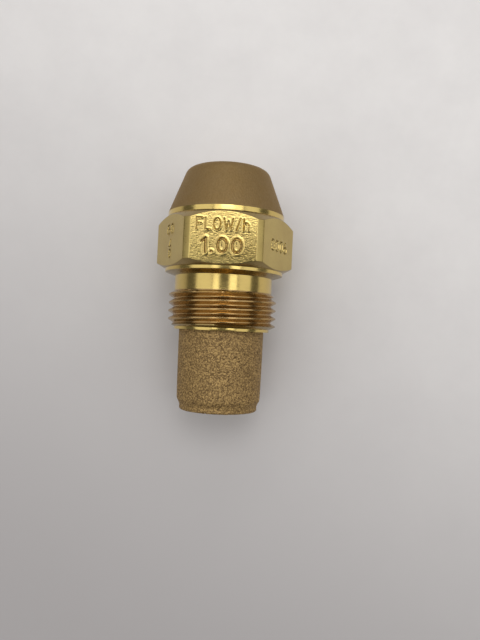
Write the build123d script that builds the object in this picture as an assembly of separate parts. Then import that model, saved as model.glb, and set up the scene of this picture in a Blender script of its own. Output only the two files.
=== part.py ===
from build123d import *
from build123d.topology import SkipClean
from math import cos, radians, tan
import os

# Oil burner nozzle: a turned and milled brass body that screws into a nozzle adapter, with an orifice
# disc, a swirl cone and a lock screw inside, and a sintered filter on a threaded nipple behind.
# Millimetres. The axis is Y: fuel enters through the filter at -Y and is sprayed out towards +Y.
# The origin is on the axis, in the plane of the rear sealing face. A hexagon flat faces +Z and -Z.

# ---- body, outside, from the sealing face forward
thread_diameter = 25.4 * 9 / 16
thread_pitch = 25.4 / 24
thread_length = 4.75
seat_land_length = 0.35
lead_in_length = 0.40
seat_width = 0.62
neck_relief = 0.05
neck_runout = 0.35
neck_length = 2.3
rear_bevel_length = 0.45
rear_collar_step = 0.20
rear_collar_length = 0.40
hex_across_flats = 16.0
hex_length = 6.80
hex_corner_trim = 0.25
hex_rear_chamfer_angle = 30.0
hex_front_chamfer_angle = 40.0
front_collar_step = 0.28
front_collar_length = 0.60
tip_cone_length = 6.10
tip_cone_angle = 21.0
tip_edge_fillet = 1.25

# ---- body, inside: each step is the ledge between one bore and the next
thread_wall = 0.80
filter_bore_depth = 3.20
filter_ledge = 1.10
nipple_ledge = 0.60
screw_ledge = 0.50
screw_bore_lead = 0.80
disc_ledge = 1.50
lip_thickness = 0.50
front_web = 1.80
spray_opening_radius = 3.30

# ---- thread form, as shares of the pitch
crest_share = 0.16
root_share = 0.132
flank_angle = 30.0
thread_overcut = 0.076
fine_pitch = 0.75

# ---- fits between pieces
disc_clearance = 0.05
nose_clearance = 0.10
screw_clearance = 0.05
nipple_clearance = 0.05
filter_clearance = 0.07
filter_end_gap = 0.10
seat_gap = 0.05
boss_clearance = 0.05
nipple_end_gap = 0.20
screw_end_room = 0.45

# ---- orifice disc
disc_web = 0.90
disc_edge_chamfer = 0.20
nose_chamfer = 0.12
swirl_seat_rim = 0.75
swirl_chamber_radius = 0.50
swirl_chamber_depth = 0.40
orifice_radius = 0.10
orifice_length = 0.15
flare_radius = 0.32

# ---- swirl cone
cone_rim_clearance = 0.05
cone_tip_radius = 0.55
cone_body_length = 1.70
cone_boss_radius = 1.20
cone_boss_length = 0.70
slot_count = 4
slot_width = 0.26
slot_depth = 0.24
slot_offset = 0.36

# ---- lock screw
screw_thread_length = 2.90
screw_neck_length = 2.50
screw_neck_step = 1.00
screw_hole_radius = 1.40
screw_web = 0.50
cross_hole_radius = 0.45
cross_hole_setback = 0.60
driver_slot_width = 1.20
driver_slot_depth = 1.10
screw_end_chamfer = 0.45

# ---- filter nipple and sintered filter
nipple_end_chamfer = 0.45
spigot_step = 0.95
spigot_wall = 1.60
spigot_length = 5.10
filter_reach = 10.50
filter_taper = 0.10
filter_belly = 0.04
filter_end_length = 1.65
filter_end_step = 0.38
filter_end_land = 0.55
filter_edge_fillet = 0.25
filter_floor = 2.00


def thread_depth(pitch):
    """Depth of a 60 degree thread with the shares of flat crest and root given above."""
    return pitch * (1 - crest_share - root_share) / (2 * tan(radians(flank_angle)))


# ---- radii, worked inwards from the outside thread
thread_radius = thread_diameter / 2
thread_root = thread_radius - thread_depth(thread_pitch)
neck_radius = thread_root - neck_relief
filter_bore_radius = thread_root - thread_wall
seat_radius = filter_bore_radius + seat_width
nipple_bore_radius = filter_bore_radius - filter_ledge
screw_bore_radius = nipple_bore_radius - nipple_ledge
disc_bore_radius = screw_bore_radius - screw_ledge
lip_radius = disc_bore_radius - disc_ledge
filter_radius = filter_bore_radius - filter_clearance
nipple_radius = nipple_bore_radius - nipple_clearance
spigot_radius = nipple_radius - spigot_step
screw_radius = screw_bore_radius - screw_clearance
disc_radius = disc_bore_radius - disc_clearance
swirl_seat_radius = disc_radius - swirl_seat_rim
cone_radius = swirl_seat_radius - cone_rim_clearance
corner_radius = hex_across_flats / 2 / cos(radians(30)) - hex_corner_trim
rear_collar_radius = hex_across_flats / 2 - rear_collar_step
front_collar_radius = hex_across_flats / 2 - front_collar_step
tip_radius = front_collar_radius - tip_cone_length * tan(radians(tip_cone_angle))

# ---- places along the axis: outside from the sealing face forward, inside from the tip face back
neck_start = thread_length + neck_runout
collar_start = thread_length + neck_length
hex_start = collar_start + rear_bevel_length + rear_collar_length
hex_end = hex_start + hex_length
cone_start = hex_end + front_collar_length
tip_face = cone_start + tip_cone_length
disc_shoulder = tip_face - front_web
nose_face = disc_shoulder + lip_thickness
swirl_chamber_end = nose_face - disc_web
swirl_chamber_start = swirl_chamber_end - swirl_chamber_depth
disc_rear = swirl_chamber_start - (swirl_seat_radius - swirl_chamber_radius)
disc_bore_start = disc_rear - screw_bore_lead
cone_base = disc_rear + swirl_seat_radius - cone_radius - seat_gap
cone_tip = cone_base + cone_radius - cone_tip_radius
cone_rear = cone_base - cone_body_length
screw_front = cone_rear - seat_gap
screw_neck_start = screw_front - screw_neck_length
screw_rear = screw_neck_start - screw_thread_length
nipple_bore_end = screw_rear - screw_end_room
nipple_front = nipple_bore_end - nipple_end_gap
filter_mouth = filter_bore_depth - filter_end_gap


def turned(outline, sweep_angle=360):
    """Solid of revolution about the Y axis from (radius, Y) corners."""
    return revolve(make_face(Polyline(*outline, close=True)), Axis.Y, sweep_angle)


def groove_turn(major, pitch, start):
    """One right-handed turn of the thread groove, a helix of one pitch that begins at Y = start."""
    root = major - thread_depth(pitch)
    half_root = root_share * pitch / 2
    half_mouth = half_root + (major + thread_overcut - root) * tan(radians(flank_angle))
    path = Helix(pitch=pitch, height=pitch, radius=root, center=(0, start, 0), direction=(0, 1, 0))
    outward = Vector((path @ 0).X, 0, (path @ 0).Z).normalized()
    plane = Plane(origin=(0, start, 0), x_dir=outward, z_dir=Vector(0, 1, 0).cross(outward))
    corners = [
        (root, -half_root),
        (major + thread_overcut, -half_mouth),
        (major + thread_overcut, half_mouth),
        (root, half_root),
    ]
    return sweep(plane * make_face(Polyline(*corners, close=True)), path=path, is_frenet=True)


def threaded(blank, major, pitch, start, end):
    """Cut the thread groove into a blank between two places on the axis, one turn at a time."""
    turns = int((end - start) / pitch) + 2
    first = end + pitch / 2 - turns * pitch
    grooves = [groove_turn(major, pitch, first + pitch * turn) for turn in range(turns)]
    return blank.solid().cut(*[groove.solid() for groove in grooves])


def quartered(solid):
    """The same solid with its round faces divided at the four quarter planes."""
    halves = solid.split(Plane.XY, keep=Keep.BOTH)
    quarters = [piece for half in halves for piece in half.split(Plane.YZ, keep=Keep.BOTH)]
    with SkipClean():
        return quarters[0].fuse(*quarters[1:])


def hexagon_prism():
    """Hexagon prism along Y over the whole body, with flats facing +Z and -Z."""
    section = RegularPolygon(hex_across_flats / 2, 6, major_radius=False)
    return extrude(Plane.XZ * section, tip_face, both=True)


def hexagon_waste():
    """What milling the six flats takes away between the two collars."""
    slab_length = hex_end - hex_start
    slab = Pos(0, hex_start + slab_length / 2, 0) * Rot(X=90) * Cylinder(2 * corner_radius, slab_length)
    return slab - hexagon_prism()


def body_blank():
    """Outside of the body as turned: thread blank, neck, collars, hexagon blank and tip cone."""
    rear_rise = (corner_radius - rear_collar_radius) * tan(radians(hex_rear_chamfer_angle))
    front_rise = (corner_radius - front_collar_radius) * tan(radians(hex_front_chamfer_angle))
    outline = [
        (0, 0),
        (seat_radius, 0),
        (seat_radius, seat_land_length),
        (thread_radius, seat_land_length + lead_in_length),
        (thread_radius, thread_length),
        (neck_radius, neck_start),
        (neck_radius, collar_start),
        (rear_collar_radius, collar_start + rear_bevel_length),
        (rear_collar_radius, hex_start),
        (corner_radius, hex_start + rear_rise),
        (corner_radius, hex_end - front_rise),
        (front_collar_radius, hex_end),
        (front_collar_radius, cone_start),
        (tip_radius, tip_face),
        (0, tip_face),
    ]
    blank = turned(outline)
    rim = blank.edges().filter_by(GeomType.CIRCLE).group_by(Axis.Y)[-1]
    return fillet(rim, tip_edge_fillet)


def body_bore():
    """Stepped bore of the body, from the filter counterbore to the spray opening."""
    beyond = 1.0
    return turned([
        (0, -beyond),
        (filter_bore_radius, -beyond),
        (filter_bore_radius, filter_bore_depth),
        (nipple_bore_radius, filter_bore_depth),
        (nipple_bore_radius, nipple_bore_end),
        (screw_bore_radius, nipple_bore_end),
        (screw_bore_radius, disc_bore_start),
        (disc_bore_radius, disc_bore_start),
        (disc_bore_radius, disc_shoulder),
        (lip_radius, disc_shoulder),
        (lip_radius, nose_face),
        (spray_opening_radius, tip_face),
        (spray_opening_radius, tip_face + beyond),
        (0, tip_face + beyond),
    ])


def nozzle_body():
    """Body: turned, threaded, milled to a hexagon and bored through."""
    blank = threaded(body_blank(), thread_radius, thread_pitch, 0, thread_length)
    milled = blank - hexagon_waste() - body_bore()
    return quartered(milled.solid())


def orifice_disc():
    """Orifice disc: conical swirl seat behind, spray orifice in a nose that looks out of the lip."""
    nose_radius = lip_radius - nose_clearance
    disc = turned([
        (0, disc_rear),
        (disc_radius - disc_edge_chamfer, disc_rear),
        (disc_radius, disc_rear + disc_edge_chamfer),
        (disc_radius, disc_shoulder),
        (nose_radius, disc_shoulder),
        (nose_radius, nose_face - nose_chamfer),
        (nose_radius - nose_chamfer, nose_face),
        (0, nose_face),
    ])
    orifice_start = nose_face - (flare_radius - orifice_radius) - orifice_length
    passage = turned([
        (0, disc_rear),
        (swirl_seat_radius, disc_rear),
        (swirl_chamber_radius, swirl_chamber_start),
        (swirl_chamber_radius, swirl_chamber_end),
        (orifice_radius, orifice_start),
        (orifice_radius, orifice_start + orifice_length),
        (flare_radius, nose_face),
        (0, nose_face),
    ])
    return disc - passage


def swirl_slot():
    """Cutter for one slot, laid along the slope of the cone beside its axis."""
    slope = Vector(-1, 1, 0)
    outward = Vector(1, 1, 0)
    mid_radius = (cone_radius + cone_tip_radius) / 2
    mid = Vector(mid_radius, cone_base + cone_radius - mid_radius, slot_offset)
    plane = Plane(origin=mid, x_dir=slope, z_dir=outward)
    return plane * Box(3 * cone_radius, slot_width, 2 * slot_depth)


def swirl_cone():
    """Swirl cone: 90 degree cone with tangential slots, a short body and a boss behind."""
    cone = turned([
        (0, cone_rear - cone_boss_length),
        (cone_boss_radius, cone_rear - cone_boss_length),
        (cone_boss_radius, cone_rear),
        (cone_radius, cone_rear),
        (cone_radius, cone_base),
        (cone_tip_radius, cone_tip),
        (0, cone_tip),
    ])
    for number in range(slot_count):
        cone = cone - Rot(Y=360 * number / slot_count) * swirl_slot()
    return cone


def lock_screw():
    """Lock screw: fine thread, slotted behind, drilled to cross holes, recessed for the cone's boss."""
    stem_radius = screw_radius - screw_neck_step
    boss_recess = cone_boss_length + seat_gap
    blank = turned([
        (0, screw_rear),
        (screw_radius - screw_end_chamfer, screw_rear),
        (screw_radius, screw_rear + screw_end_chamfer),
        (screw_radius, screw_neck_start),
        (stem_radius, screw_neck_start),
        (stem_radius, screw_front),
        (0, screw_front),
    ])
    screw = threaded(blank, screw_radius, fine_pitch, screw_rear, screw_neck_start)
    recess = turned([
        (0, screw_front - boss_recess),
        (cone_boss_radius + boss_clearance, screw_front - boss_recess),
        (cone_boss_radius + boss_clearance, screw_front),
        (0, screw_front),
    ])
    hole_end = screw_front - boss_recess - screw_web
    hole = turned([
        (0, screw_rear),
        (screw_hole_radius, screw_rear),
        (screw_hole_radius, hole_end),
        (0, hole_end),
    ])
    cross = Cylinder(cross_hole_radius, 2 * screw_bore_radius)
    crossed = Pos(0, hole_end - cross_hole_setback, 0) * (cross + Rot(Y=90) * cross)
    slot = Pos(0, screw_rear + driver_slot_depth / 2, 0)
    slot = slot * Box(2 * screw_bore_radius, driver_slot_depth, driver_slot_width)
    return screw - recess - hole - crossed - slot


def filter_nipple():
    """Filter nipple: fine thread in the body, plain spigot that carries the filter, drilled through."""
    hole_radius = spigot_radius - spigot_wall
    blank = turned([
        (0, filter_mouth - spigot_length),
        (spigot_radius, filter_mouth - spigot_length),
        (spigot_radius, filter_mouth),
        (nipple_radius, filter_mouth),
        (nipple_radius, nipple_front - nipple_end_chamfer),
        (nipple_radius - nipple_end_chamfer, nipple_front),
        (0, nipple_front),
    ])
    nipple = threaded(blank, nipple_radius, fine_pitch, filter_mouth, nipple_front)
    hole = turned([
        (0, filter_mouth - spigot_length),
        (hole_radius, filter_mouth - spigot_length),
        (hole_radius, nipple_front),
        (0, nipple_front),
    ])
    return nipple - hole


def sintered_filter():
    """Filter cup: slightly barrelled and tapered outside, drawn in at its closed end."""
    shoulder_place = filter_end_length - filter_reach
    end_radius = filter_radius - filter_taper - filter_end_step
    mouth = (filter_radius, filter_mouth)
    middle = (filter_radius - filter_taper / 2 + filter_belly, (filter_mouth + shoulder_place) / 2)
    shoulder = (filter_radius - filter_taper, shoulder_place)
    side = ThreePointArc(mouth, middle, shoulder)
    rest = Polyline(
        shoulder,
        (end_radius, filter_end_land - filter_reach),
        (end_radius, -filter_reach),
        (0, -filter_reach),
        (0, filter_mouth),
        mouth,
    )
    cup = revolve(make_face(side + rest), Axis.Y)
    rim = cup.edges().filter_by(GeomType.CIRCLE).group_by(Axis.Y)[0]
    cup = fillet(rim, filter_edge_fillet)
    cavity = turned([
        (0, filter_floor - filter_reach),
        (spigot_radius, filter_floor - filter_reach),
        (spigot_radius, filter_mouth),
        (0, filter_mouth),
    ])
    return cup - cavity


PIECES = {
    "nozzle_body": nozzle_body,
    "orifice_disc": orifice_disc,
    "swirl_cone": swirl_cone,
    "lock_screw": lock_screw,
    "filter_nipple": filter_nipple,
    "sintered_filter": sintered_filter,
}

os.makedirs("parts", exist_ok=True)
for node, make in PIECES.items():
    export_step(Compound(children=make().solids()), os.path.join("parts", node + ".step"))
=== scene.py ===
"""Looks of an oil burner nozzle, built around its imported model.

All sizes are metres in the model's own frame: the nozzle's axis is Y, the spray end faces +Y, the rear
sealing face lies at Y = 0 and a hexagon flat faces +Z. Angles round the axis are counted from +Z
towards +X, so they grow the way a right-handed thread climbs.
"""
from math import acos, cos, pi, radians, sin, tan

import bmesh
import bpy
import numpy as np
from mathutils import Matrix, Vector


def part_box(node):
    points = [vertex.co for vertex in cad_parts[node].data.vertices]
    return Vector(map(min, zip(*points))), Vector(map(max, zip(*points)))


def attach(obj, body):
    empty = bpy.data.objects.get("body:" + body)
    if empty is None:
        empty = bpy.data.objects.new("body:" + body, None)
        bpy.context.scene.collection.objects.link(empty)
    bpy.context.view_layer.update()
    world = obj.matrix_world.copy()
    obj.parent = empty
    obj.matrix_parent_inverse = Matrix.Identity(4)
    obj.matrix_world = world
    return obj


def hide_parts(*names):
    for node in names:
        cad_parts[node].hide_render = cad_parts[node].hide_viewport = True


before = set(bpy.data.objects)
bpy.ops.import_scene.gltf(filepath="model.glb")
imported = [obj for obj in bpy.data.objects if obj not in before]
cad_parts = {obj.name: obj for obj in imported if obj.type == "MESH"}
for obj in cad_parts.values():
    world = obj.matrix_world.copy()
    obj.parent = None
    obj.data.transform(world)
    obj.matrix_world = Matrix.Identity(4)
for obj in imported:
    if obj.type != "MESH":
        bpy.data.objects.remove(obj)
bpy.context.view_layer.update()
FILTER_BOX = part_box("sintered_filter")
BODY_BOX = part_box("nozzle_body")

bl_info = {
    "name": "Oil Burner Nozzle",
    "version": (1, 0, 0),
    "blender": (4, 5, 0),
    "location": "3D View > Sidebar > Nozzle",
    "description": "Builds a brass oil burner nozzle with its thread, stamped flats and sintered filter",
    "category": "Add Mesh",
}

MM = 0.001
FLAT_COUNT = 6
FLAT_STEP = 2 * pi / FLAT_COUNT
MERGE_DISTANCE = 1e-8
SMOOTH_LIMIT = radians(32)
LONGEST_TOUCH = 0.45


# ---------------------------------------------------------------- sizes and colours

def length(name, default, description):
    """A length property in metres, given in millimetres."""
    return bpy.props.FloatProperty(
        name=name, description=description, default=default * MM, unit="LENGTH", precision=6)


def degrees(name, default, description):
    """An angle property, given in degrees."""
    return bpy.props.FloatProperty(
        name=name, description=description, default=radians(default), subtype="ANGLE")


def colour(name, default, description):
    """A colour property with red, green and blue from 0 to 1."""
    return bpy.props.FloatVectorProperty(
        name=name, description=description, default=default, subtype="COLOR", size=3, min=0, max=1)


class BodySizes(bpy.types.PropertyGroup):
    """Sizes of the nozzle body."""

    thread_radius: length("Thread Radius", 7.14375, "Crest radius of the outside thread")
    thread_pitch: length("Thread Pitch", 25.4 / 24, "Distance from one thread crest to the next")
    thread_length: length("Thread Length", 4.75, "Where the thread's full height ends")
    thread_crest: length("Thread Crest", 0.169, "Width of the flat on the thread's crest")
    thread_root: length("Thread Root", 0.140, "Width of the flat in the thread's root")
    seat_radius: length("Seat Radius", 6.3148, "Outer radius of the rear sealing face")
    seat_land: length("Seat Land", 0.35, "Length of the plain land in front of the sealing face")
    lead_in: length("Lead In", 0.40, "Length of the chamfer between the land and the thread")
    neck_radius: length("Neck Radius", 6.4448, "Radius of the plain neck")
    neck_start: length("Neck Start", 5.10, "Where the thread has run out into the neck")
    neck_end: length("Neck End", 7.05, "Where the neck meets the rear collar's bevel")
    rear_collar_radius: length("Rear Collar Radius", 7.80, "Radius of the collar behind the hexagon")
    rear_collar_start: length("Rear Collar Start", 7.50, "Where the bevel ends and the rear collar begins")
    hex_start: length("Hexagon Start", 7.90, "Rear end of the hexagon")
    hex_end: length("Hexagon End", 14.70, "Front end of the hexagon")
    hex_apothem: length("Hexagon Apothem", BODY_BOX[1].z / MM, "Distance from the axis to a flat")
    corner_radius: length("Corner Radius", BODY_BOX[1].x / MM, "Radius the hexagon's corners are turned to")
    corner_blend: length("Corner Blend", 0.03, "Softness of the edge between a flat and a turned corner")
    rear_chamfer: degrees("Rear Chamfer", 30, "Angle of the hexagon's rear chamfer")
    front_chamfer: degrees("Front Chamfer", 40, "Angle of the hexagon's front chamfer")
    front_collar_radius: length("Front Collar Radius", 7.72, "Radius of the bright collar at the cone")
    cone_start: length("Cone Start", 15.30, "Where the collar ends and the cone begins")
    tip_radius: length("Tip Radius", 5.3784, "Radius of the cone at the tip face, before its rounding")
    tip_face: length("Tip Face", BODY_BOX[1].y / MM, "Place of the flat face around the spray opening")
    tip_fillet: length("Tip Fillet", 1.25, "Rounding of the cone's front edge")
    spray_radius: length("Spray Opening Radius", 3.30, "Radius of the spray opening at the tip face")
    lip_radius: length("Lip Radius", 1.995, "Radius of the hole through the front lip")
    lip_face: length("Lip Face", 20.10, "Front of the lip, where the spray opening begins to widen")
    disc_shoulder: length("Disc Shoulder", 19.60, "Face that the orifice disc stops against")
    disc_bore_radius: length("Disc Bore Radius", 3.4956, "Radius of the bore around the orifice disc")
    disc_bore_start: length("Disc Bore Start", 15.80, "Rear end of the disc bore")
    screw_bore_radius: length("Screw Bore Radius", 3.9956, "Radius of the bore around the lock screw")
    screw_bore_start: length("Screw Bore Start", 9.00, "Rear end of the lock screw's bore")
    nipple_bore_radius: length("Nipple Bore Radius", 4.5956, "Radius of the bore around the nipple")
    filter_bore_radius: length("Filter Bore Radius", 5.6956, "Radius of the counterbore round the filter")
    filter_bore_depth: length("Filter Bore Depth", 3.20, "Depth of the counterbore round the filter")
    edge_round: length("Edge Round", 0.06, "Rounding of the turned edges")
    stamp_depth: length("Stamp Depth", 0.14, "Depth of the stamped marks")
    stamp_width: length("Stamp Width", 0.12, "Width of a stamped stroke at its bottom")


class FilterSizes(bpy.types.PropertyGroup):
    """Sizes of the sintered filter."""

    shoulder_radius: length("Shoulder Radius", 5.5248, "Outer radius where the closed end begins to draw in")
    end_radius: length("End Radius", 5.1448, "Outer radius of the closed end")
    end_length: length("End Length", 1.65, "Distance from the shoulder to the closed end")
    end_land: length("End Land", 0.55, "Length of the straight part at the closed end")
    belly: length("Belly", 0.04, "How far the side bulges beyond a straight taper")
    edge_fillet: length("Edge Fillet", 0.25, "Rounding of the closed end's edge")
    cavity_radius: length("Cavity Radius", 3.5956, "Radius of the hollow inside")
    cavity_depth: length("Cavity Depth", 11.60, "Depth of the hollow from the open end")
    hidden: length("Hidden Length", 2.80, "Length inside the body, which needs no beads")
    bead: length("Bead Spacing", 0.20, "Spacing of the sintered beads")
    relief: length("Relief", 0.08, "Depth of the gaps between the beads")


class NozzleColours(bpy.types.PropertyGroup):
    """Colours of the nozzle's finishes."""

    bright: colour("Bright Brass", (0.76, 0.57, 0.19), "Freshly turned brass")
    milled: colour("Milled Brass", (0.56, 0.43, 0.15), "Milled hexagon flats")
    blasted: colour("Blasted Brass", (0.34, 0.233, 0.105), "Dull, bead-blasted tip cone")
    # Painted shade: the bevel colour is the brass darkened for the dark surroundings that the bevels and
    # chamfers reflect.
    shaded_bevels: colour("Bevel Brass", (0.34, 0.25, 0.10), "Dull brass on the bevels and chamfers")
    threads: colour("Thread Brass", (0.48, 0.32, 0.135), "Warm brass in the thread")
    # This darker tone serves the tarnish patches and the painted shade in the stamped marks.
    shade: colour("Tarnish", (0.32, 0.20, 0.07), "Darker tone of all brass finishes")
    bead_light: colour("Bead Bronze", (0.59, 0.385, 0.142), "Crowns of the sintered beads")
    # The pore colour is both the darkest bead tone and the painted shade in the gaps between the beads.
    bead_dark_and_pore_shade: colour("Pore Bronze", (0.13, 0.073, 0.023), "Gaps between the sintered beads")
    steel: colour("Stainless Steel", (0.56, 0.55, 0.53), "Orifice disc and swirl cone")
    # Painted shade: the table fades from the first colour, far from the viewer, to the darker second one
    # near the viewer.
    table_unshaded: colour("Table, Light Side", (0.95, 0.92, 0.90), "Pale table top, furthest from the viewer")
    table_painted_shade: colour("Table, Dark Side", (0.50, 0.475, 0.47), "Pale table top, nearest the viewer")


# ---------------------------------------------------------------- surfaces

def rounded_outline(corners, fillets, steps):
    """Outlines whose corners are replaced by circular arcs.

    corners has one outline per row, as (columns, corners, 2) with place along the axis and radius. Each
    inner corner C becomes an arc that touches both sides a distance t from C, where t is the fillet
    times the tangent of half the turn, and at most LONGEST_TOUCH of the shorter side. The arc is the
    rational curve ((1-s)^2 A + 2 w s(1-s) C + s^2 B) / ((1-s)^2 + 2 w s(1-s) + s^2), with A and B the
    touching points, s from 0 to 1 and w the cosine of half the turn. A corner with no fillet stays one
    point.
    """
    rows = [corners[:, 0]]
    for number in range(1, corners.shape[1] - 1):
        corner = corners[:, number]
        if fillets[number] == 0:
            rows.append(corner)
            continue
        back = corners[:, number - 1] - corner
        ahead = corners[:, number + 1] - corner
        back_length = np.linalg.norm(back, axis=1, keepdims=True)
        ahead_length = np.linalg.norm(ahead, axis=1, keepdims=True)
        back = back / back_length
        ahead = ahead / ahead_length
        half_turn = (pi - np.arccos(np.clip(np.sum(back * ahead, axis=1, keepdims=True), -1, 1))) / 2
        longest = LONGEST_TOUCH * np.minimum(back_length, ahead_length)
        touch = np.minimum(fillets[number] * np.tan(half_turn), longest)
        weight = np.cos(half_turn)
        for s in np.linspace(0, 1, steps[number] + 1):
            middle = 2 * weight * s * (1 - s)
            total = (1 - s) ** 2 + middle + s ** 2
            start = (1 - s) ** 2 * (corner + back * touch)
            rows.append((start + middle * corner + s ** 2 * (corner + ahead * touch)) / total)
    rows.append(corners[:, -1])
    return np.stack(rows, axis=1)


def around_axis(angle, place, radius):
    """Points at a radius and an angle round the axis: x = r sin(a), y = place, z = r cos(a)."""
    return np.stack([radius * np.sin(angle), place + 0 * angle, radius * np.cos(angle)], axis=-1)


def grid_faces(columns, rows, closed_columns=True, closed_rows=True):
    """Corner numbers of the quads of a grid whose point (column, row) has number column * rows + row."""
    column = np.arange(columns if closed_columns else columns - 1)
    row = np.arange(rows if closed_rows else rows - 1)
    a, b = np.meshgrid(column, row, indexing="ij")
    next_a = (a + 1) % columns
    next_b = (b + 1) % rows
    corners = [a * rows + b, next_a * rows + b, next_a * rows + next_b, a * rows + next_b]
    return np.stack(corners, axis=-1)


def mesh_object(name, points, faces, material_numbers, materials, gaps=None):
    """A closed, outward-facing mesh from a point array, an array of quads and a material per quad.

    gaps, where it is given, becomes the point attribute "gap" that a material can read.
    """
    mesh = bpy.data.meshes.new(name)
    mesh.from_pydata(points.reshape(-1, 3), [], faces.reshape(-1, 4))
    if gaps is not None:
        mesh.attributes.new("gap", "FLOAT", "POINT").data.foreach_set("value", gaps.astype(np.float32))
    for material in materials:
        mesh.materials.append(material)
    mesh.polygons.foreach_set("material_index", material_numbers.astype(np.int32).ravel())
    work = bmesh.new()
    work.from_mesh(mesh)
    bmesh.ops.remove_doubles(work, verts=work.verts, dist=MERGE_DISTANCE)
    bmesh.ops.recalc_face_normals(work, faces=work.faces)
    if work.calc_volume(signed=True) < 0:
        bmesh.ops.reverse_faces(work, faces=work.faces)
    open_edges = sum(1 for edge in work.edges if len(edge.link_faces) != 2)
    if open_edges:
        raise RuntimeError(f"{name} has {open_edges} edges that don't join two faces")
    work.to_mesh(mesh)
    work.free()
    mesh.polygons.foreach_set("use_smooth", np.ones(len(mesh.polygons), bool))
    mesh.set_sharp_from_angle(angle=SMOOTH_LIMIT)
    piece = bpy.data.objects.new(name, mesh)
    bpy.context.scene.collection.objects.link(piece)
    return piece


# ---------------------------------------------------------------- stamped marks

MARK_GAP = 0.34
WALL_WIDTH = 1.2
LIP_HEIGHT = 0.22
LIP_PLACE = 3.8
LIP_SPREAD = 1.5
LIP_LIMIT = 0.25


def ellipse(x, y, width, height, start=0, stop=360, count=20):
    """Points on an ellipse round (x, y), from one angle to another in degrees from +x towards +y."""
    angle = np.radians(np.linspace(start, stop, count))
    return np.stack([x + width / 2 * np.cos(angle), y + height / 2 * np.sin(angle)], axis=1)


GLYPHS = {
    "F": (0.55, [[(0, 0), (0, 1), (0.55, 1)], [(0, 0.52), (0.45, 0.52)]]),
    "L": (0.50, [[(0, 1), (0, 0), (0.50, 0)]]),
    "O": (0.70, [ellipse(0.35, 0.5, 0.70, 1.0)]),
    "W": (0.90, [[(0, 1), (0.22, 0), (0.45, 0.8), (0.68, 0), (0.90, 1)]]),
    "0": (0.58, [ellipse(0.29, 0.5, 0.58, 1.0)]),
    "1": (0.25, [[(0, 0.75), (0.25, 1), (0.25, 0)]]),
    "6": (0.56, [ellipse(0.28, 0.3, 0.56, 0.6), ellipse(0.50, 0.38, 1.0, 1.24, 105, 180, 8)]),
    "/": (0.42, [[(0, -0.05), (0.42, 1.05)]]),
    "h": (0.50, [[(0, 0), (0, 1)],
                 np.concatenate([ellipse(0.25, 0.38, 0.50, 0.56, 180, 0, 9), [(0.50, 0)]])]),
    "<": (0.62, [[(0.62, 0), (0, 0), (0.45, 0.85)]]),
    ".": (0.08, [[(0.02, 0.03), (0.06, 0.03)]]),
}


def stamped_line(text, across, along, height, line_width):
    """Stroke segments of one line of marks, as (segments, 2, 2) in millimetres on a flat.

    across and along give the line's middle, from the middle of the flat and from the sealing face.
    """
    widths = [GLYPHS[mark][0] for mark in text]
    scale = np.array([line_width / (sum(widths) + MARK_GAP * (len(text) - 1)), height])
    start = across - line_width / 2
    segments = []
    for mark, width in zip(text, widths):
        for stroke in GLYPHS[mark][1]:
            points = np.array(stroke) * scale + np.array([start, along - height / 2])
            segments.append(np.stack([points[:-1], points[1:]], axis=1))
        start += (width + MARK_GAP) * scale[0]
    return np.concatenate(segments)


def stamp_height(across, along, segments, depth, half_width):
    """Height of a stamped flat: a sloped-wall groove along the strokes with a raised lip beside it.

    With d the distance to the nearest stroke, the groove is minus the depth inside the half width and
    rises along a smooth step to nothing over a wall of WALL_WIDTH half widths, and the lip is a low
    bell curve of d round LIP_PLACE half widths.
    """
    points = np.stack([across, along], axis=-1)[..., None, :]
    start, run = segments[:, 0], segments[:, 1] - segments[:, 0]
    share = np.clip(np.sum((points - start) * run, axis=-1) / np.sum(run * run, axis=-1), 0, 1)
    distance = np.linalg.norm(points - start - share[..., None] * run, axis=-1).min(axis=-1)
    wall = np.clip((distance - half_width) / (WALL_WIDTH * half_width), 0, 1)
    groove = depth * (wall * wall * (3 - 2 * wall) - 1)
    from_lip = (distance - LIP_PLACE * half_width) / (LIP_SPREAD * half_width)
    lip = LIP_HEIGHT * depth * np.exp(-from_lip ** 2)
    return groove + lip


# ---------------------------------------------------------------- nozzle body

FLAT_MARKS = {
    0: [(0.62, "FLOW/h", -0.15, 12.85, 1.40, 6.3), (1.15, "1.00", -0.2, 10.25, 1.65, 4.8)],
    1: [(0.9, "0006", 0.1, 11.0, 1.35, 4.2)],
    -1: [(0.9, "60", 0.1, 12.6, 1.2, 1.8), (0.9, "<", 0.1, 10.9, 0.9, 0.6), (0.9, "0", 0.1, 9.5, 1.0, 0.6)],
}
FLAT_COLUMNS = {0: 134, 1: 72, -1: 72}
PLAIN_COLUMNS = 16
CORNER_EDGES = (0.25, 0.9)
FLAT_ROWS = 92
THREAD_TURNS = 7
FLANK_ANGLE = radians(30)
RUNOUT_CURVE = 3.5
CREST_ROUND = 0.008 * MM
ROOT_ROUND = 0.012 * MM
BLASTED, BRIGHT, MILLED, CORNER, BEVEL, NECK, THREAD, BORE = range(8)


def flat_half_angle(size):
    """Angle from a flat's middle to where it meets the turned corner."""
    return acos(size.hex_apothem / size.corner_radius)


def body_angles(size):
    """Angles of the body's columns: even steps across each flat and a few round each turned corner.

    The three upper flats, which carry marks, have the closest columns.
    """
    half = flat_half_angle(size)
    edge = np.radians(CORNER_EDGES)
    corner = np.concatenate([half + edge, [FLAT_STEP / 2]])
    angles = []
    for flat in range(-2, 4):
        count = FLAT_COLUMNS.get(flat, PLAIN_COLUMNS)
        reach = size.hex_apothem * tan(half - edge[0])
        across = np.arctan(np.linspace(-reach, reach, count) / size.hex_apothem)
        angles.append(flat * FLAT_STEP + np.concatenate([-half - edge[::-1], across, corner]))
    return np.concatenate(angles)


def nearest_flat(angle):
    """Number of the flat that each angle belongs to, and the angle from that flat's middle."""
    flat = np.round(angle / FLAT_STEP)
    return flat, angle - flat * FLAT_STEP


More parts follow.
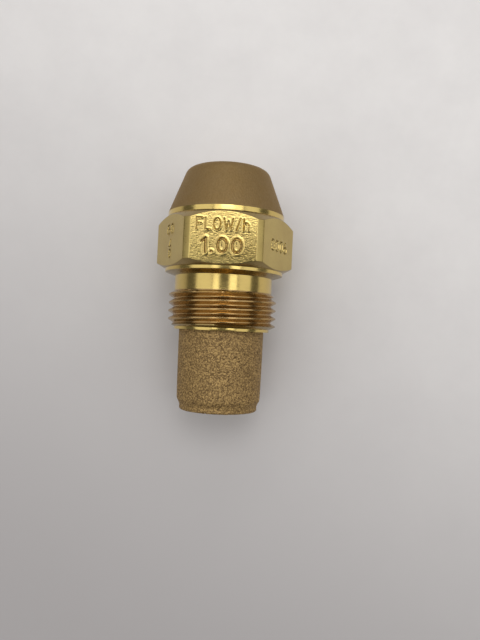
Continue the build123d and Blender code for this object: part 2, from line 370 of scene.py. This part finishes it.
def hexagon_radius(size, angle):
    """Radius of the hexagon with turned corners.

    It is the smaller of the flat's radius, which is the apothem over the cosine of the angle from the
    flat's middle, and the corner radius, joined by a parabola where the two are nearly equal.
    """
    flat_radius = size.hex_apothem / np.cos(nearest_flat(angle)[1])
    near = np.maximum(size.corner_blend - np.abs(flat_radius - size.corner_radius), 0) / size.corner_blend
    return np.minimum(flat_radius, size.corner_radius) - near * near * size.corner_blend / 4


def thread_rows(size, angle):
    """Place and radius of the rows that follow the thread, as two (columns, rows) arrays.

    Each row climbs one pitch in a turn. Across a pitch, measured from the middle of the groove, the
    radius is the root within half the root flat, the crest beyond half the pitch less half the crest
    flat, and runs straight between them, with both edges eased a little. The result is cut off by the
    lead-in chamfer at the rear and by the run-out at the front, which falls to the neck as the share
    left to run to the power RUNOUT_CURVE, and rows past either end lie on that end.
    """
    pitch = size.thread_pitch
    flank_end = (pitch - size.thread_crest) / 2
    flank_start = size.thread_root / 2
    depth = (flank_end - flank_start) / tan(FLANK_ANGLE)
    inner = np.array([0.7 * flank_start, 1.8 * flank_start, (flank_start + flank_end) / 2,
                      0.9 * flank_end, flank_end])
    offsets = np.concatenate([-inner[::-1], inner, [pitch / 2]])
    relative = np.clip((np.abs(offsets) - flank_start) / (flank_end - flank_start), 0, 1)
    profile = size.thread_radius - depth * (1 - relative)
    profile = profile - CREST_ROUND * (np.abs(offsets) == flank_end) + ROOT_ROUND * (relative == 0)
    start = size.seat_land
    end = size.neck_start
    first = size.thread_length + pitch / 2 - (THREAD_TURNS - 1) * pitch
    along = (first + pitch * np.arange(THREAD_TURNS)[:, None] + offsets).ravel()
    place = np.clip(along + pitch * angle[:, None] / (2 * pi), start, end)
    rise = size.thread_radius - size.seat_radius
    lead = size.seat_radius + rise * (place - start) / size.lead_in
    runout = np.clip((place - size.thread_length) / (end - size.thread_length), 0, 1)
    fade = size.neck_radius + (size.thread_radius - size.neck_radius) * (1 - runout) ** RUNOUT_CURVE
    radius = np.minimum(np.minimum(np.tile(profile, THREAD_TURNS), lead), fade)
    radius = np.where(place >= end, size.neck_radius, radius)
    return place, radius, len(offsets)


def body_outline(size, hexagon):
    """Corners, fillets and finishes of the outline from the neck round to the rear chamfer.

    Each entry has place, radius, fillet, arc steps, and the finish of the side that follows.
    """
    rear_rise = (hexagon - size.rear_collar_radius) * tan(size.rear_chamfer)
    front_rise = (hexagon - size.front_collar_radius) * tan(size.front_chamfer)
    soft = size.edge_round
    return [
        (size.neck_start, size.neck_radius, 0, 0, NECK),
        (size.neck_end, size.neck_radius, soft, 2, BEVEL),
        (size.rear_collar_start, size.rear_collar_radius, soft, 3, NECK),
        (size.hex_start, size.rear_collar_radius, 0, 0, BEVEL),
        (size.hex_start + rear_rise, hexagon, soft, 2, MILLED),
        (size.hex_end - front_rise, hexagon, soft, 2, BEVEL),
        (size.hex_end, size.front_collar_radius, 0, 0, BRIGHT),
        (size.cone_start, size.front_collar_radius, soft, 2, BLASTED),
        (size.tip_face, size.tip_radius, size.tip_fillet, 8, BLASTED),
        (size.tip_face, size.spray_radius, 2 * soft, 3, BRIGHT),
        (size.lip_face, size.lip_radius, soft, 2, BORE),
        (size.disc_shoulder, size.lip_radius, 0, 0, BORE),
        (size.disc_shoulder, size.disc_bore_radius, 0, 0, BORE),
        (size.disc_bore_start, size.disc_bore_radius, soft, 2, BORE),
        (size.disc_bore_start, size.screw_bore_radius, 0, 0, BORE),
        (size.screw_bore_start, size.screw_bore_radius, soft, 2, BORE),
        (size.screw_bore_start, size.nipple_bore_radius, 0, 0, BORE),
        (size.filter_bore_depth, size.nipple_bore_radius, soft, 2, BORE),
        (size.filter_bore_depth, size.filter_bore_radius, 0, 0, BORE),
        (0, size.filter_bore_radius, soft, 2, BRIGHT),
        (0, size.seat_radius, soft, 2, BRIGHT),
        (size.seat_land, size.seat_radius, 0, 0, BRIGHT),
    ]


def body_surface(size):
    """Points, quads, finishes and mark depths of the whole body, as one closed ring of outlines.

    Every column holds the thread's rows and then the rounded outline that runs over the hexagon and
    the tip and back through the bore. The flats are divided evenly between their chamfers, and the
    stamped marks move their points along the flat's normal. At the seam the thread's rows join the
    rows one turn further on.
    """
    angle = body_angles(size)
    hexagon = hexagon_radius(size, angle)
    entries = body_outline(size, hexagon)
    corners = np.stack([np.stack([place + 0 * angle, radius + 0 * angle], axis=-1)
                        for place, radius, *_ in entries], axis=1)
    steps = [entry[3] for entry in entries]
    outline = rounded_outline(corners, [entry[2] for entry in entries], steps)
    finish = np.concatenate([[entry[4]] * (entry[3] + 1) for entry in entries[:-1]])
    flat_end = 1 + sum(step + 1 for step in steps[1:5])
    share = np.linspace(0, 1, FLAT_ROWS + 2)[None, 1:-1, None]
    flat_rows = outline[:, None, flat_end - 1] * (1 - share) + outline[:, None, flat_end] * share
    outline = np.concatenate([outline[:, :flat_end], flat_rows, outline[:, flat_end:]], axis=1)
    finish = np.concatenate([finish[:flat_end], [MILLED] * FLAT_ROWS, finish[flat_end:]])

    thread_place, thread_radius, turn_rows = thread_rows(size, angle)
    thread_count = thread_place.shape[1]
    place = np.concatenate([thread_place, outline[:, :, 0]], axis=1)
    radius = np.concatenate([thread_radius, outline[:, :, 1]], axis=1)
    finish = np.concatenate([np.full(thread_count, THREAD), finish, [BRIGHT]])
    points = around_axis(angle[:, None], place, radius)

    flat, off_flat = nearest_flat(angle)
    on_flat = np.abs(off_flat) < flat_half_angle(size)
    rows = slice(thread_count + flat_end, thread_count + flat_end + FLAT_ROWS)
    gaps = np.zeros(place.shape)
    for number, lines in FLAT_MARKS.items():
        chosen = np.nonzero(on_flat & (flat == number))[0]
        across = size.hex_apothem * np.tan(off_flat[chosen])[:, None] + 0 * place[chosen, rows]
        height = sum(stamp_height(across, place[chosen, rows], stamped_line(*line) * MM,
                                  weight * size.stamp_depth, weight * size.stamp_width / 2)
                     for weight, *line in lines)
        # How deep each point lies in a stamped mark, for the painted shade in the grooves.
        gaps[chosen, rows] = np.clip(-height / size.stamp_depth, 0, 1)
        normal = np.array([sin(number * FLAT_STEP), 0, cos(number * FLAT_STEP)])
        points[chosen, rows] += np.minimum(height, LIP_LIMIT * size.stamp_depth)[..., None] * normal

    columns, row_count = place.shape
    faces = grid_faces(columns, row_count)
    seam = np.arange(thread_count - turn_rows - 1)
    last = (columns - 1) * row_count
    next_turn = seam + turn_rows
    faces[-1, seam] = np.stack([last + seam, next_turn, next_turn + 1, last + seam + 1], axis=-1)
    idle = np.arange(thread_count - turn_rows - 1, thread_count - 1)
    kind = np.tile(finish, (columns, 1))
    lead_end = size.seat_land + size.lead_in
    # The lead-in takes the bevel finish, whose darker colour is painted shade.
    kind[:, :thread_count][thread_place < lead_end] = BEVEL
    next_on_flat = on_flat & np.roll(on_flat, -1)
    kind[~next_on_flat] = np.where(kind[~next_on_flat] == MILLED, CORNER, kind[~next_on_flat])
    used = np.ones(kind.shape, bool)
    used[-1, idle] = False
    return points, faces[used], kind[used], gaps.ravel()


class NOZZLE_OT_body(bpy.types.Operator):
    """Build the brass nozzle body with its thread, hexagon, stamped flats, cone and bore"""

    bl_idname = "nozzle.body"
    bl_label = "Nozzle Body"

    def execute(self, context):
        points, faces, kinds, gaps = body_surface(context.scene.body_sizes)
        piece = mesh_object("nozzle_body_brass", points, faces, kinds, body_finishes(context.scene), gaps)
        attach(piece, "nozzle_body")
        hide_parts("nozzle_body")
        return {"FINISHED"}


# ---------------------------------------------------------------- sintered filter

FILTER_QUARTER = 124
SIDE_ROWS = 142
HIDDEN_ROWS = 6
BEAD_SEED = 7
BEAD_TABLE = 4096
BEAD_REACH = 0.50
CELL_PRIMES = (73856093, 19349663, 83492791)


def bead_height(points, spacing, relief):
    """Height of the beads at points in space, from minus the relief up to nothing.

    Space is divided into cubes as wide as the bead spacing, each with one bead centre placed at
    random in its middle four fifths. With d the distance to the nearest centre as a share of the spacing,
    the height is the relief times (sqrt(1 - d^2 / BEAD_REACH) - 1), the top of a ball, and never lower
    than minus the relief.
    """
    random = np.random.default_rng(BEAD_SEED)
    table = random.uniform(0.1, 0.9, (BEAD_TABLE, 3))
    scaled = points / spacing
    cell = np.floor(scaled).astype(np.int64)
    nearest = np.full(points.shape[:-1], np.inf)
    for shift in np.ndindex(3, 3, 3):
        cube = cell + np.array(shift) - 1
        hashed = cube * np.array(CELL_PRIMES)
        key = hashed[..., 0] ^ hashed[..., 1] ^ hashed[..., 2]
        centre = cube + table[key % BEAD_TABLE]
        nearest = np.minimum(nearest, np.sum((scaled - centre) ** 2, axis=-1))
    return relief * (np.sqrt(np.clip(1 - nearest / BEAD_REACH, 0, 1)) - 1)


def filter_side(size, mouth_radius, mouth, end):
    """Outline of the filter's outside from its open end to the flat of its closed end.

    The side runs from the mouth to the shoulder as a taper plus a parabola of the belly's height, draws
    in along a cosine curve to the straight part of the closed end, and turns the edge with the arc
    of rounded_outline. Each point comes with the direction its beads stand out in.
    """
    shoulder = end + size.end_length
    first_visible = mouth - size.hidden
    place = np.concatenate([np.linspace(mouth, first_visible, HIDDEN_ROWS, endpoint=False),
                            np.linspace(first_visible, end + size.edge_fillet, SIDE_ROWS)])
    share = np.clip((place - mouth) / (shoulder - mouth), 0, 1)
    taper = (size.shoulder_radius - mouth_radius) * share
    radius = mouth_radius + taper + 4 * size.belly * share * (1 - share)
    draw = np.clip((shoulder - place) / (size.end_length - size.end_land), 0, 1)
    radius = radius - (size.shoulder_radius - size.end_radius) * (1 - np.cos(pi * draw)) / 2
    corner = np.array([[[shoulder, size.end_radius], [end, size.end_radius], [end, 0.0]]])
    arc = rounded_outline(corner, [0, size.edge_fillet, 0], [0, 6, 0])[0, 1:-1]
    outline = np.concatenate([np.stack([place, radius], axis=1)[:-1], arc])
    tangent = np.gradient(outline, axis=0)
    outward = np.stack([tangent[:, 1], -tangent[:, 0]], axis=1)
    outward /= np.linalg.norm(outward, axis=1, keepdims=True)
    outward[-1] = [-1, 0]
    return outline, outward


def square_to_disc(count):
    """A square grid laid on the unit disc so that its border is spaced evenly round the rim.

    A point (a, b) of the square from -1 to 1 goes to the radius max(|a|, |b|), and its angle grows in
    proportion to how far it lies along that side of the square.
    """
    a, b = np.meshgrid(np.linspace(-1, 1, count), np.linspace(-1, 1, count), indexing="ij")
    wide = np.abs(a) >= np.abs(b)
    radius = np.where(wide, a, b)
    safe = np.where(radius == 0, 1, radius)
    angle = np.where(wide, pi / 4 * b / safe, pi / 2 - pi / 4 * a / safe)
    return radius * np.cos(angle), radius * np.sin(angle)


def filter_surface(size):
    """Points, quads and gap depths of the filter cup: outside, closed end, rim and hollow."""
    low, high = FILTER_BOX
    mouth, end = high.y, low.y
    mouth_radius = (high.x - low.x) / 2
    columns = 4 * FILTER_QUARTER
    angle = pi / 4 + np.arange(columns) * 2 * pi / columns
    outline, outward = filter_side(size, mouth_radius, mouth, end)
    side = around_axis(angle[:, None], outline[None, :, 0], outline[None, :, 1])
    side_out = around_axis(angle[:, None], outward[None, :, 0], outward[None, :, 1])

    sine, cosine = square_to_disc(FILTER_QUARTER + 1)
    rim = outline[-1, 1]
    cap = np.stack([rim * sine, np.full(sine.shape, end), rim * cosine], axis=-1)
    cap_out = np.zeros(cap.shape)
    cap_out[..., 1] = -1

    floor = mouth - size.cavity_depth
    hollow_outline = [(mouth, mouth_radius), (mouth, size.cavity_radius),
                      (floor, size.cavity_radius), (floor, 0)]
    hollow = np.stack([around_axis(angle, place, radius) for place, radius in hollow_outline], axis=1)

    sheets = [
        (side, side_out, grid_faces(columns, side.shape[1], True, False)),
        (cap, cap_out, grid_faces(*sine.shape, False, False)),
        (hollow, np.zeros(hollow.shape), grid_faces(columns, len(hollow_outline), True, False)),
    ]
    points, faces, depth, count = [], [], [], 0
    for sheet, direction, quads in sheets:
        height = bead_height(sheet, size.bead, size.relief)
        at_mouth = np.clip((mouth - size.hidden - sheet[..., 1]) / size.bead, 0, 1)
        points.append((sheet + (height * at_mouth)[..., None] * direction).reshape(-1, 3))
        # How deep each point lies between the beads, for the painted shade in the gaps.
        depth.append((-height / size.relief).ravel())
        faces.append(quads.reshape(-1, 4) + count)
        count += points[-1].shape[0]
    return np.concatenate(points), np.concatenate(faces), np.concatenate(depth)


class NOZZLE_OT_filter(bpy.types.Operator):
    """Build the sintered bronze filter cup, bead by bead"""

    bl_idname = "nozzle.filter"
    bl_label = "Sintered Filter"

    def execute(self, context):
        points, faces, gaps = filter_surface(context.scene.filter_sizes)
        material = bead_material(context.scene.nozzle_colours)
        piece = mesh_object("sintered_filter_beads", points, faces, np.zeros(len(faces)), [material], gaps)
        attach(piece, "filter")
        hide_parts("sintered_filter")
        return {"FINISHED"}


# ---------------------------------------------------------------- materials

GRAIN_SPREAD = (0.30, 0.70)
TARNISH_SPREAD = (0.35, 0.70)
TARNISH_DETAIL = 7
TARNISH_ROUGHNESS = 0.65
TURNED_GRAIN = ((0.15, 1, 0.15), 9000.0, 0.004 * MM)
MILLED_GRAIN = ((0.55, 1, 0.55), 5500.0, 0.014 * MM)
BLASTED_GRAIN = ((1, 0.6, 1), 5500.0, 0.045 * MM)
DULL_STEEL = (0.30, 0.29, 0.28)
BEAD_METALLIC = 0.4
BEAD_ROUGHNESS = (0.45, 0.70)
# Depth range over which the gaps between beads take the painted shade.
PORE_SHADE_SPREAD = (0.25, 1.70)
FACET_SCALE = 8000
FACET_DEPTH = 0.03 * MM
FACET_STRENGTH = 0.7


def feed(node, inputs):
    """Link a node's inputs to the outputs that are given for them, or set them to the given values."""
    for name, value in inputs.items():
        target = node.inputs[name]
        if isinstance(value, bpy.types.NodeSocket):
            node.id_data.links.new(value, target)
        else:
            target.default_value = value


def add_node(tree, kind, inputs=None, **settings):
    """Outputs of a new node, whose settings are made before its inputs are fed."""
    node = tree.nodes.new(kind)
    for name, value in settings.items():
        setattr(node, name, value)
    feed(node, inputs or {})
    return node.outputs


def new_material(name):
    """A new material, its node tree and its surface shader."""
    material = bpy.data.materials.new(name)
    material.use_nodes = True
    return material, material.node_tree, material.node_tree.nodes["Principled BSDF"]


def node_group(name, inputs, outputs):
    """An empty shader node group, the outputs of its first node, and its last node.

    Each input is given as (name, socket type, default) and each output as (name, socket type).
    """
    group = bpy.data.node_groups.new(name, "ShaderNodeTree")
    for label, kind, default in inputs:
        item = group.interface.new_socket(label, in_out="INPUT", socket_type=kind)
        item.default_value = default
    for label, kind in outputs:
        group.interface.new_socket(label, in_out="OUTPUT", socket_type=kind)
    return group, group.nodes.new("NodeGroupInput").outputs, group.nodes.new("NodeGroupOutput")


def grain_group():
    """Grain stretched along one way: a mask from 0 to 1 and a height for bump."""
    group, given, wanted = node_group(
        "stretched_grain",
        [("Stretch", "NodeSocketVector", (1, 1, 1)), ("Scale", "NodeSocketFloat", 1000),
         ("Detail", "NodeSocketFloat", 4)],
        [("Mask", "NodeSocketFloat"), ("Height", "NodeSocketFloat")])
    place = add_node(group, "ShaderNodeTexCoord")["Object"]
    stretched = add_node(group, "ShaderNodeVectorMath", {0: place, 1: given["Stretch"]},
                         operation="MULTIPLY")
    noise = add_node(group, "ShaderNodeTexNoise",
                     {"Vector": stretched[0], "Scale": given["Scale"], "Detail": given["Detail"]})
    mask = add_node(group, "ShaderNodeMapRange",
                    {"Value": noise["Fac"], "From Min": GRAIN_SPREAD[0], "From Max": GRAIN_SPREAD[1]})
    feed(wanted, {"Mask": mask["Result"], "Height": noise["Fac"]})
    return group


def tarnish_group():
    """Two colours mixed in soft cloudy patches with finer specks inside them."""
    group, given, wanted = node_group(
        "tarnish",
        [("Clean", "NodeSocketColor", (1, 1, 1, 1)), ("Tarnished", "NodeSocketColor", (0, 0, 0, 1)),
         ("Amount", "NodeSocketFloat", 0.3), ("Scale", "NodeSocketFloat", 200)],
        [("Color", "NodeSocketColor"), ("Mask", "NodeSocketFloat")])
    place = add_node(group, "ShaderNodeTexCoord")["Object"]
    noise = add_node(group, "ShaderNodeTexNoise",
                     {"Vector": place, "Scale": given["Scale"], "Detail": TARNISH_DETAIL,
                      "Roughness": TARNISH_ROUGHNESS})
    clouds = add_node(group, "ShaderNodeMapRange",
                      {"Value": noise["Fac"], "From Min": TARNISH_SPREAD[0], "From Max": TARNISH_SPREAD[1]})
    mask = add_node(group, "ShaderNodeMath", {0: clouds["Result"], 1: given["Amount"]},
                    operation="MULTIPLY")
    mixed = add_node(group, "ShaderNodeMix",
                     {"Factor": mask[0], "A": given["Clean"], "B": given["Tarnished"]}, data_type="RGBA")
    feed(wanted, {"Color": mixed["Result"], "Mask": mask[0]})
    return group


def shared_group(name, make):
    """The node group of that name, made the first time that it is asked for."""
    return bpy.data.node_groups.get(name) or make()


def metal(name, clean, tarnished, roughness, grain, amount=0.35, patch=220.0, bump=0.2, groove_shade=0.0):
    """A machined metal: cloudy tarnish, and grain that carries roughness and a fine bump.

    roughness is its lowest and highest value, and grain is the stretch of the grain along X, Y and Z,
    its scale and the depth of its bump in metres. amount and patch are the strength and the scale of
    the tarnish, and the last argument is how far the bottom of a stamped mark takes the tarnished
    colour: painted shade in the groove.
    """
    material, tree, surface = new_material(name)
    patches = add_node(tree, "ShaderNodeGroup",
                       {"Clean": (*clean, 1), "Tarnished": (*tarnished, 1), "Amount": amount,
                        "Scale": patch},
                       node_tree=shared_group("tarnish", tarnish_group))
    # Painted shade: the gap attribute darkens the bottom of a stamped mark towards the tarnished colour.
    gap = add_node(tree, "ShaderNodeAttribute", attribute_name="gap")
    groove_shade_mask = add_node(tree, "ShaderNodeMath", {0: gap["Fac"], 1: groove_shade}, operation="MULTIPLY")
    groove_shaded = add_node(tree, "ShaderNodeMix",
                      {"Factor": groove_shade_mask[0], "A": patches["Color"], "B": (*tarnished, 1)}, data_type="RGBA")
    stretch, scale, depth = grain
    lines = add_node(tree, "ShaderNodeGroup", {"Stretch": stretch, "Scale": scale},
                     node_tree=shared_group("stretched_grain", grain_group))
    rough = add_node(tree, "ShaderNodeMapRange",
                     {"Value": lines["Mask"], "To Min": roughness[0], "To Max": roughness[1]})
    relief = add_node(tree, "ShaderNodeBump",
                      {"Strength": bump, "Distance": depth, "Height": lines["Height"]})
    feed(surface, {"Metallic": 1.0, "Base Color": groove_shaded["Result"], "Roughness": rough["Result"],
                   "Normal": relief["Normal"]})
    return material


def body_finishes(scene):
    """The body's finishes, in the order of BLASTED, BRIGHT, MILLED, CORNER, BEVEL, NECK, THREAD and BORE."""
    tone = scene.nozzle_colours
    return [
        metal("blasted_brass", tone.blasted, tone.shade, (0.60, 0.74), BLASTED_GRAIN,
              amount=0.40, patch=900.0, bump=1.0),
        metal("bright_brass", tone.bright, tone.shade, (0.12, 0.24), TURNED_GRAIN, amount=0.25),
        # The milled flats carry painted shade in the bottoms of their stamped marks.
        metal("milled_brass", tone.milled, tone.shade, (0.13, 0.23), MILLED_GRAIN,
              amount=0.40, bump=1.0, groove_shade=0.7),
        metal("corner_brass", tone.milled, tone.shade, (0.26, 0.40), TURNED_GRAIN, amount=0.40),
        # Bevels and chamfers get the darkened bevel colour, a painted shade for the dark surroundings they
        # reflect.
        metal("bevel_brass_painted_shade", tone.shaded_bevels, tone.shade, (0.18, 0.30), TURNED_GRAIN, amount=0.30),
        metal("neck_brass", tone.bright, tone.shade, (0.14, 0.24), TURNED_GRAIN, amount=0.25),
        metal("thread_brass", tone.threads, tone.shade, (0.18, 0.30), TURNED_GRAIN, amount=0.40),
        metal("bore_brass", tone.bright, tone.shade, (0.25, 0.40), TURNED_GRAIN, amount=0.35),
    ]


def bead_material(tone):
    """Sintered bronze: beads from light to dark, painted shade in the gaps between them, and small facets
    that break the shine.
    """
    material, tree, surface = new_material("sintered_bronze")
    light = (*tone.bead_light, 1)
    dark = (*tone.bead_dark_and_pore_shade, 1)
    gap = add_node(tree, "ShaderNodeAttribute", attribute_name="gap")
    depth = add_node(tree, "ShaderNodeMapRange",
                     {"Value": gap["Fac"], "From Min": PORE_SHADE_SPREAD[0], "From Max": PORE_SHADE_SPREAD[1]})
    place = add_node(tree, "ShaderNodeTexCoord")["Object"]
    facets = add_node(tree, "ShaderNodeTexVoronoi", {"Vector": place, "Scale": FACET_SCALE})
    each = add_node(tree, "ShaderNodeSeparateColor", {"Color": facets["Color"]})
    tones = add_node(tree, "ShaderNodeMix", {"Factor": each["Red"], "A": light, "B": dark}, data_type="RGBA")
    # Painted shade: the deeper a point lies between the beads, the more it takes the dark colour.
    beads = add_node(tree, "ShaderNodeMix",
                     {"Factor": depth["Result"], "A": tones["Result"], "B": dark}, data_type="RGBA")
    rough = add_node(tree, "ShaderNodeMapRange",
                     {"Value": facets["Distance"], "To Min": BEAD_ROUGHNESS[0], "To Max": BEAD_ROUGHNESS[1]})
    relief = add_node(tree, "ShaderNodeBump",
                      {"Strength": FACET_STRENGTH, "Distance": FACET_DEPTH, "Height": facets["Distance"]})
    feed(surface, {"Metallic": BEAD_METALLIC, "Base Color": beads["Result"], "Roughness": rough["Result"],
                   "Normal": relief["Normal"]})
    return material


class NOZZLE_OT_inner_parts(bpy.types.Operator):
    """Give the lock screw, nipple, orifice disc and swirl cone their finishes"""

    bl_idname = "nozzle.inner_parts"
    bl_label = "Inner Parts"

    def execute(self, context):
        tone = context.scene.nozzle_colours
        steel = metal("stainless_steel", tone.steel, DULL_STEEL, (0.16, 0.30), TURNED_GRAIN, amount=0.3)
        brass = metal("turned_brass", tone.bright, tone.shade, (0.18, 0.32), TURNED_GRAIN, amount=0.3)
        for node, material in (("orifice_disc", steel), ("swirl_cone", steel),
                               ("lock_screw", brass), ("filter_nipple", brass)):
            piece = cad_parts[node]
            piece.data.materials.clear()
            piece.data.materials.append(material)
        return {"FINISHED"}


# ---------------------------------------------------------------- stage

LIGHT_HEIGHT = 0.40
KEY_LIGHTS = [
    ("left_key", (-22, -8), (-15, 33), 1.5),
    ("right_key", (15, 33), (-15, 33), 1.6),
    ("far_key", (-8, 15), (13.5, 34), 3.6),
    ("far_low", (-30, 30), (46, 64), 1.5),
    ("left_fill", (-64, -25), (-50, 64), 0.82),
    ("right_fill", (37, 68), (-50, 64), 0.79),
]
ROOM_COLOUR = (1, 0.98, 0.97)
ROOM_STRENGTH = 0.13
LENS = 32.4
SENSOR_WIDTH = 36
CAMERA_PLACE = Vector((2.50, 0.2, 77)) * MM
CAMERA_ROLL = radians(2.62)
CAMERA_LEAN = radians(1.0)
NEAR_LIMIT = 1 * MM
TABLE_REACH = 1.5
# Direction and spread of the painted shade across the table top.
TABLE_SHADE_TURN = radians(-65)
TABLE_SHADE_FADE = (-0.055, 0.050)
TABLE_ROUGHNESS = 0.6
TABLE_STAIN = (0.55, 0.52, 0.52)
STAIN_AMOUNT = 0.16
STAIN_SCALE = 90


def soft_light(name, across, along, radiance):
    """A flat rectangular light facing the nozzle, between two angles from straight above each way.

    Its middle is at the light height divided by the cosine of the middle angle across. radiance is its
    brightness, and its power is pi times the area times that.
    """
    low, high = radians(across[0]), radians(across[1])
    near, far = radians(along[0]), radians(along[1])
    lean = (low + high) / 2
    reach = LIGHT_HEIGHT / cos(lean)
    outward = Vector((sin(lean), 0, cos(lean)))
    data = bpy.data.lights.new(name, "AREA")
    data.shape = "RECTANGLE"
    data.size = 2 * reach * tan((high - low) / 2)
    data.size_y = LIGHT_HEIGHT * (tan(far) - tan(near))
    data.energy = pi * data.size * data.size_y * radiance
    light = bpy.data.objects.new(name, data)
    middle = outward * reach + Vector((0, LIGHT_HEIGHT * (tan(far) + tan(near)) / 2, 0))
    axes = Matrix((Vector((0, 1, 0)).cross(outward), Vector((0, 1, 0)), outward)).transposed().to_4x4()
    light.matrix_world = Matrix.Translation(middle) @ axes
    light.visible_camera = False
    bpy.context.scene.collection.objects.link(light)


def overhead_camera(scene):
    """Camera straight above the nozzle's axis, a little to +X, with the tip leaning right in its view."""
    up = Vector((-sin(CAMERA_ROLL), cos(CAMERA_ROLL), 0))
    ahead = (Vector((0, 0, -1)) * cos(CAMERA_LEAN) + up * sin(CAMERA_LEAN)).normalized()
    side = ahead.cross(up).normalized()
    camera = bpy.data.objects.new("camera", bpy.data.cameras.new("camera"))
    camera.data.lens = LENS
    camera.data.sensor_width = SENSOR_WIDTH
    camera.data.clip_start = NEAR_LIMIT
    turned = Matrix((side, side.cross(ahead), -ahead)).transposed().to_4x4()
    camera.matrix_world = Matrix.Translation(CAMERA_PLACE) @ turned
    scene.collection.objects.link(camera)
    scene.camera = camera


def table_material(tone):
    """Pale table top with a painted shade that darkens it evenly towards the near left, and a faint mottle.
    """
    material, tree, surface = new_material("table_top")
    place = add_node(tree, "ShaderNodeTexCoord")["Object"]
    turned = add_node(tree, "ShaderNodeMapping", {"Vector": place, "Rotation": (0, 0, TABLE_SHADE_TURN)})
    across = add_node(tree, "ShaderNodeSeparateXYZ", {"Vector": turned["Vector"]})
    fade = add_node(tree, "ShaderNodeMapRange",
                    {"Value": across["X"], "From Min": TABLE_SHADE_FADE[0], "From Max": TABLE_SHADE_FADE[1]},
                    interpolation_type="SMOOTHSTEP")
    # Painted shade: the colour falls from the pale tone to the darker one towards the near left.
    tones = add_node(tree, "ShaderNodeMix",
                     {"Factor": fade["Result"], "A": (*tone.table_painted_shade, 1), "B": (*tone.table_unshaded, 1)},
                     data_type="RGBA")
    mottle = add_node(tree, "ShaderNodeGroup",
                      {"Clean": tones["Result"], "Tarnished": (*TABLE_STAIN, 1), "Amount": STAIN_AMOUNT,
                       "Scale": STAIN_SCALE},
                      node_tree=shared_group("tarnish", tarnish_group))
    feed(surface, {"Base Color": mottle["Color"], "Roughness": TABLE_ROUGHNESS})
    return material


class NOZZLE_OT_stage(bpy.types.Operator):
    """Set up the table, the soft lights and the camera above the nozzle"""

    bl_idname = "nozzle.stage"
    bl_label = "Table, Lights and Camera"

    def execute(self, context):
        scene = context.scene
        sides = ((-1, -1), (1, -1), (1, 1), (-1, 1))
        corners = [(x * TABLE_REACH, y * TABLE_REACH, BODY_BOX[0].z) for x, y in sides]
        mesh = bpy.data.meshes.new("table_top")
        mesh.from_pydata(corners, [], [(0, 1, 2, 3)])
        mesh.materials.append(table_material(scene.nozzle_colours))
        table = bpy.data.objects.new("table_top", mesh)
        scene.collection.objects.link(table)
        world = bpy.data.worlds.new("room")
        world.use_nodes = True
        feed(world.node_tree.nodes["Background"], {"Color": (*ROOM_COLOUR, 1), "Strength": ROOM_STRENGTH})
        scene.world = world
        for light in KEY_LIGHTS:
            soft_light(*light)
        overhead_camera(scene)
        scene.view_settings.view_transform = "Standard"
        return {"FINISHED"}


# ---------------------------------------------------------------- add-on

class NOZZLE_PT_panel(bpy.types.Panel):
    """Sizes, colours and steps of the nozzle."""

    bl_label = "Oil Burner Nozzle"
    bl_space_type = "VIEW_3D"
    bl_region_type = "UI"
    bl_category = "Nozzle"

    def draw(self, context):
        for settings in (context.scene.body_sizes, context.scene.filter_sizes, context.scene.nozzle_colours):
            box = self.layout.box()
            for name in settings.__annotations__:
                box.prop(settings, name)
        for step in STEPS:
            self.layout.operator(step.bl_idname)


STEPS = (NOZZLE_OT_stage, NOZZLE_OT_body, NOZZLE_OT_filter, NOZZLE_OT_inner_parts)
SETTINGS = {"body_sizes": BodySizes, "filter_sizes": FilterSizes, "nozzle_colours": NozzleColours}


def register():
    """Register the classes and hang the settings on the scene."""
    for item in (*SETTINGS.values(), *STEPS, NOZZLE_PT_panel):
        bpy.utils.register_class(item)
    for name, group in SETTINGS.items():
        setattr(bpy.types.Scene, name, bpy.props.PointerProperty(type=group))


def unregister():
    """Take the settings and the classes away again."""
    for name in SETTINGS:
        delattr(bpy.types.Scene, name)
    for item in (NOZZLE_PT_panel, *reversed(STEPS), *SETTINGS.values()):
        bpy.utils.unregister_class(item)


def main():
    """Build everything in order."""
    register()
    bpy.ops.nozzle.stage()
    bpy.ops.nozzle.body()
    bpy.ops.nozzle.filter()
    bpy.ops.nozzle.inner_parts()


if __name__ == "__main__":
    main()
